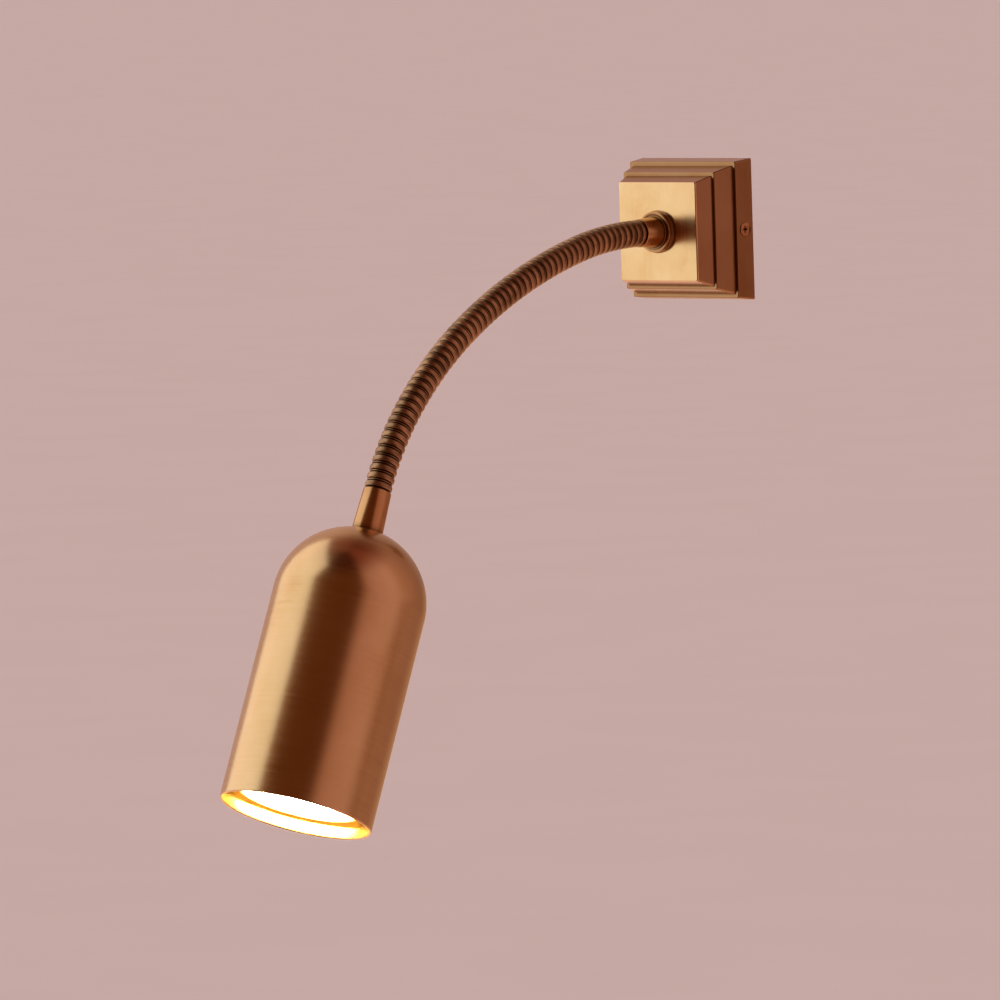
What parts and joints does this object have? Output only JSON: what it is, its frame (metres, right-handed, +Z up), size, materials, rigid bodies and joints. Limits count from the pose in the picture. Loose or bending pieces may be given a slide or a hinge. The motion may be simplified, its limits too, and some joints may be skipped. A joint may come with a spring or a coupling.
{
  "type": "wall reading lamp",
  "caption": "Bedside wall reading lamp: stepped square rose, ribbed flexible gooseneck and bullet shade with a twist-lock spot lamp.",
  "frame": {"origin": "centre of the rose on the wall, at the middle of the two wall-screw slots", "axes": "+Y into the wall, -Y out into the room, +Z up, +X to the right seen from the room"},
  "size_m": [0.062, 0.2915, 0.2614],
  "materials": {
    "satin_brass": "satin, brushed and lacquered",
    "shade_brass": "satin, brushed and lacquered",
    "neck_brass": "wound and lacquered",
    "screw_brass": "plain",
    "zinc_steel": "zinc plated",
    "terminal_brass": "plain",
    "moulded_block": "moulded",
    "steatite": "glazed",
    "spring_bronze": "rolled strip",
    "pin_nickel": "nickel plated",
    "lamp_white": "moulded",
    "lamp_lens": "frosted, lit",
    "flex_sheath": "extruded",
    "core_brown": "extruded",
    "core_blue": "extruded",
    "core_green": "extruded, two-coloured"
  },
  "bodies": {
    "rose": {"wall_bracket": "zinc_steel", "rose_cover": "satin_brass", "cover_screws": "screw_brass", "terminal_block": "moulded_block", "terminal_tubes": "terminal_brass", "terminal_screws": "zinc_steel", "earth_screw": "zinc_steel", "earth_tag": "terminal_brass", "collar_ring": "satin_brass", "base_ferrule": "satin_brass", "base_nipple": "zinc_steel", "base_lock_washer": "zinc_steel", "base_lock_nut": "zinc_steel", "neck_root": "neck_brass", "neck_flex": "flex_sheath", "live_core": "core_brown", "neutral_core": "core_blue", "earth_core": "core_green"},
    "link_01": {"neck_link_01": "neck_brass"},
    "link_02": {"neck_link_02": "neck_brass"},
    "link_03": {"neck_link_03": "neck_brass"},
    "link_04": {"neck_link_04": "neck_brass"},
    "link_05": {"neck_link_05": "neck_brass"},
    "link_06": {"neck_link_06": "neck_brass"},
    "link_07": {"neck_link_07": "neck_brass"},
    "link_08": {"neck_link_08": "neck_brass"},
    "link_09": {"neck_link_09": "neck_brass"},
    "link_10": {"neck_link_10": "neck_brass"},
    "link_11": {"neck_link_11": "neck_brass"},
    "link_12": {"neck_link_12": "neck_brass"},
    "link_13": {"neck_link_13": "neck_brass"},
    "shade": {"neck_tip": "neck_brass", "shade_ferrule": "satin_brass", "shade_nipple": "zinc_steel", "shade": "shade_brass", "shade_lock_washer": "zinc_steel", "shade_lock_nut": "zinc_steel", "shade_earth_tag": "terminal_brass", "lamp_hanger": "zinc_steel", "lampholder": "steatite", "lampholder_screws": "zinc_steel", "contact_springs": "spring_bronze", "lamp_live_core": "core_brown", "lamp_neutral_core": "core_blue", "shade_earth_core": "core_green"},
    "lamp": {"lamp_base": "lamp_white", "lamp_pins": "pin_nickel", "lamp_bowl": "lamp_white", "lamp_bezel": "lamp_white", "lamp_lens": "lamp_lens"}
  },
  "joints": [
    {"name": "neck_bend_1", "type": "hinge", "parent": "rose", "child": "link_01", "pos_m": [0, -0.04994, -0.00033], "axis": [1, 0, 0], "range_deg": [-8.5, 8.5], "deforming": ["neck_flex"]},
    {"name": "neck_swing_1", "type": "hinge", "parent": "link_01", "child": "link_02", "pos_m": [0, -0.06406, -0.00179], "axis": [0, -0.1442, 0.9896], "range_deg": [-6, 6]},
    {"name": "neck_bend_2", "type": "hinge", "parent": "link_02", "child": "link_03", "pos_m": [0, -0.07801, -0.00442], "axis": [1, 0, 0], "range_deg": [-8.5, 8.5]},
    {"name": "neck_swing_2", "type": "hinge", "parent": "link_03", "child": "link_04", "pos_m": [0, -0.09175, -0.00802], "axis": [0, -0.2787, 0.9604], "range_deg": [-6, 6]},
    {"name": "neck_bend_3", "type": "hinge", "parent": "link_04", "child": "link_05", "pos_m": [0, -0.10528, -0.01233], "axis": [1, 0, 0], "range_deg": [-8.5, 8.5]},
    {"name": "neck_swing_3", "type": "hinge", "parent": "link_05", "child": "link_06", "pos_m": [0, -0.11856, -0.01734], "axis": [0, -0.3774, 0.926], "range_deg": [-6, 6]},
    {"name": "neck_bend_4", "type": "hinge", "parent": "link_06", "child": "link_07", "pos_m": [0, -0.13154, -0.0231], "axis": [1, 0, 0], "range_deg": [-8.5, 8.5]},
    {"name": "neck_swing_4", "type": "hinge", "parent": "link_07", "child": "link_08", "pos_m": [0, -0.14414, -0.02964], "axis": [0, -0.4878, 0.873], "range_deg": [-6, 6]},
    {"name": "neck_bend_5", "type": "hinge", "parent": "link_08", "child": "link_09", "pos_m": [0, -0.15631, -0.03695], "axis": [1, 0, 0], "range_deg": [-8.5, 8.5]},
    {"name": "neck_swing_5", "type": "hinge", "parent": "link_09", "child": "link_10", "pos_m": [0, -0.16786, -0.0452], "axis": [0, -0.6171, 0.7869], "range_deg": [-6, 6]},
    {"name": "neck_bend_6", "type": "hinge", "parent": "link_10", "child": "link_11", "pos_m": [0, -0.17863, -0.05445], "axis": [1, 0, 0], "range_deg": [-8.5, 8.5]},
    {"name": "neck_swing_6", "type": "hinge", "parent": "link_11", "child": "link_12", "pos_m": [0, -0.18852, -0.06463], "axis": [0, -0.7535, 0.6574], "range_deg": [-6, 6]},
    {"name": "neck_bend_7", "type": "hinge", "parent": "link_12", "child": "link_13", "pos_m": [0, -0.19719, -0.07587], "axis": [1, 0, 0], "range_deg": [-8.5, 8.5]},
    {"name": "neck_swing_7", "type": "hinge", "parent": "link_13", "child": "shade", "pos_m": [0, -0.20447, -0.08805], "axis": [0, -0.8876, 0.4605], "range_deg": [-6, 6]},
    {"name": "lamp_twist", "type": "hinge", "parent": "shade", "child": "lamp", "pos_m": [0, -0.24204, -0.17192], "axis": [0, -0.4067, -0.9135], "range_deg": [-30, 0]}
  ]
}
